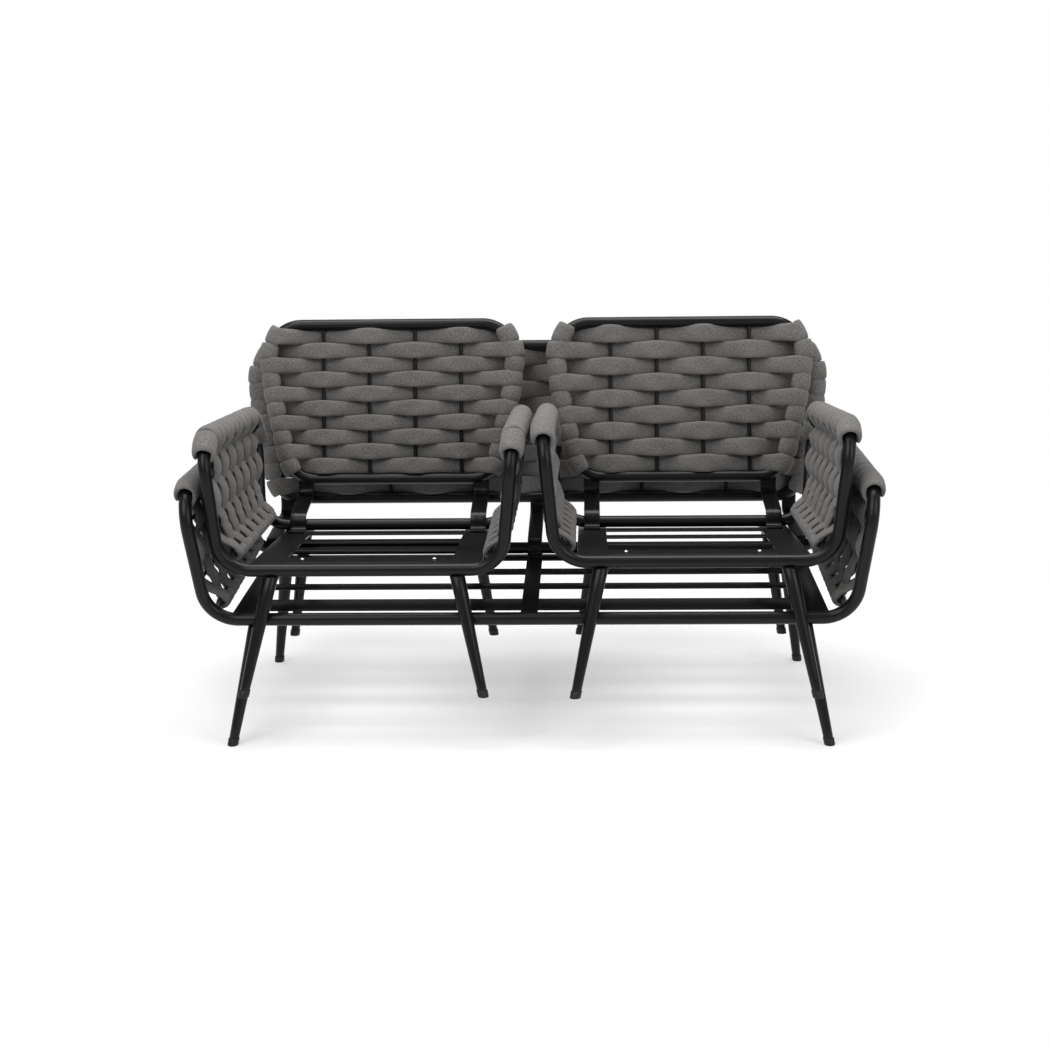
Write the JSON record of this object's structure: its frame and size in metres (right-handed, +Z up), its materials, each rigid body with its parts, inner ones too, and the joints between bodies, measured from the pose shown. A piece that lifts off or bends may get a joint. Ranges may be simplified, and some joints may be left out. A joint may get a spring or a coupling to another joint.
{
  "type": "lounge sofa",
  "caption": "Outdoor lounge sofa with matching armchairs stacked on its seat; padded woven straps on black tube frames with slatted seats and splayed tapered legs.",
  "frame": {"origin": "on the floor, at the centre of the whole set's footprint box", "axes": "+X to the right as seen from the front, along the sofa's width; -Y towards its front; +Z up"},
  "size_m": [1.3528, 0.7764, 0.7456],
  "materials": {
    "frame_metal": "satin black powder coat",
    "foot_cap": "matt black moulded plastic",
    "strap": "padded heathered grey woven fabric",
    "screw": "bright steel"
  },
  "bodies": {
    "sofa": {"sofa_arm_straps_left": "strap", "sofa_arm_straps_right": "strap", "sofa_back_bracket_left": "frame_metal", "sofa_back_bracket_middle": "frame_metal", "sofa_back_bracket_right": "frame_metal", "sofa_back_frame": "frame_metal", "sofa_back_straps": "strap", "sofa_deck": "frame_metal", "sofa_foot_cap_front_left": "foot_cap", "sofa_foot_cap_front_right": "foot_cap", "sofa_foot_cap_rear_left": "foot_cap", "sofa_foot_cap_rear_right": "foot_cap", "sofa_frame": "frame_metal", "sofa_leg_front_left": "frame_metal", "sofa_leg_front_right": "frame_metal", "sofa_leg_rear_left": "frame_metal", "sofa_leg_rear_right": "frame_metal"},
    "chair_left": {"left_arm_straps_left": "strap", "left_arm_straps_right": "strap", "left_back_bracket_left": "frame_metal", "left_back_bracket_right": "frame_metal", "left_back_frame": "frame_metal", "left_back_straps": "strap", "left_deck": "frame_metal", "left_foot_cap_front_left": "foot_cap", "left_foot_cap_front_right": "foot_cap", "left_foot_cap_rear_left": "foot_cap", "left_foot_cap_rear_right": "foot_cap", "left_frame": "frame_metal", "left_leg_front_left": "frame_metal", "left_leg_front_right": "frame_metal", "left_leg_rear_left": "frame_metal", "left_leg_rear_right": "frame_metal", "left_screw_left": "screw", "left_screw_right": "screw"},
    "chair_right": {"right_arm_straps_left": "strap", "right_arm_straps_right": "strap", "right_back_bracket_left": "frame_metal", "right_back_bracket_right": "frame_metal", "right_back_frame": "frame_metal", "right_back_straps": "strap", "right_deck": "frame_metal", "right_foot_cap_front_left": "foot_cap", "right_foot_cap_front_right": "foot_cap", "right_foot_cap_rear_left": "foot_cap", "right_foot_cap_rear_right": "foot_cap", "right_frame": "frame_metal", "right_leg_front_left": "frame_metal", "right_leg_front_right": "frame_metal", "right_leg_rear_left": "frame_metal", "right_leg_rear_right": "frame_metal", "right_screw_left": "screw", "right_screw_right": "screw"}
  },
  "joints": [
    {"name": "chair_left_lift", "type": "slide", "parent": "sofa", "child": "chair_left", "axis": [0, 0, 1], "range_m": [0, 0.5]},
    {"name": "chair_right_lift", "type": "slide", "parent": "sofa", "child": "chair_right", "axis": [0, 0, 1], "range_m": [0, 0.5]}
  ]
}
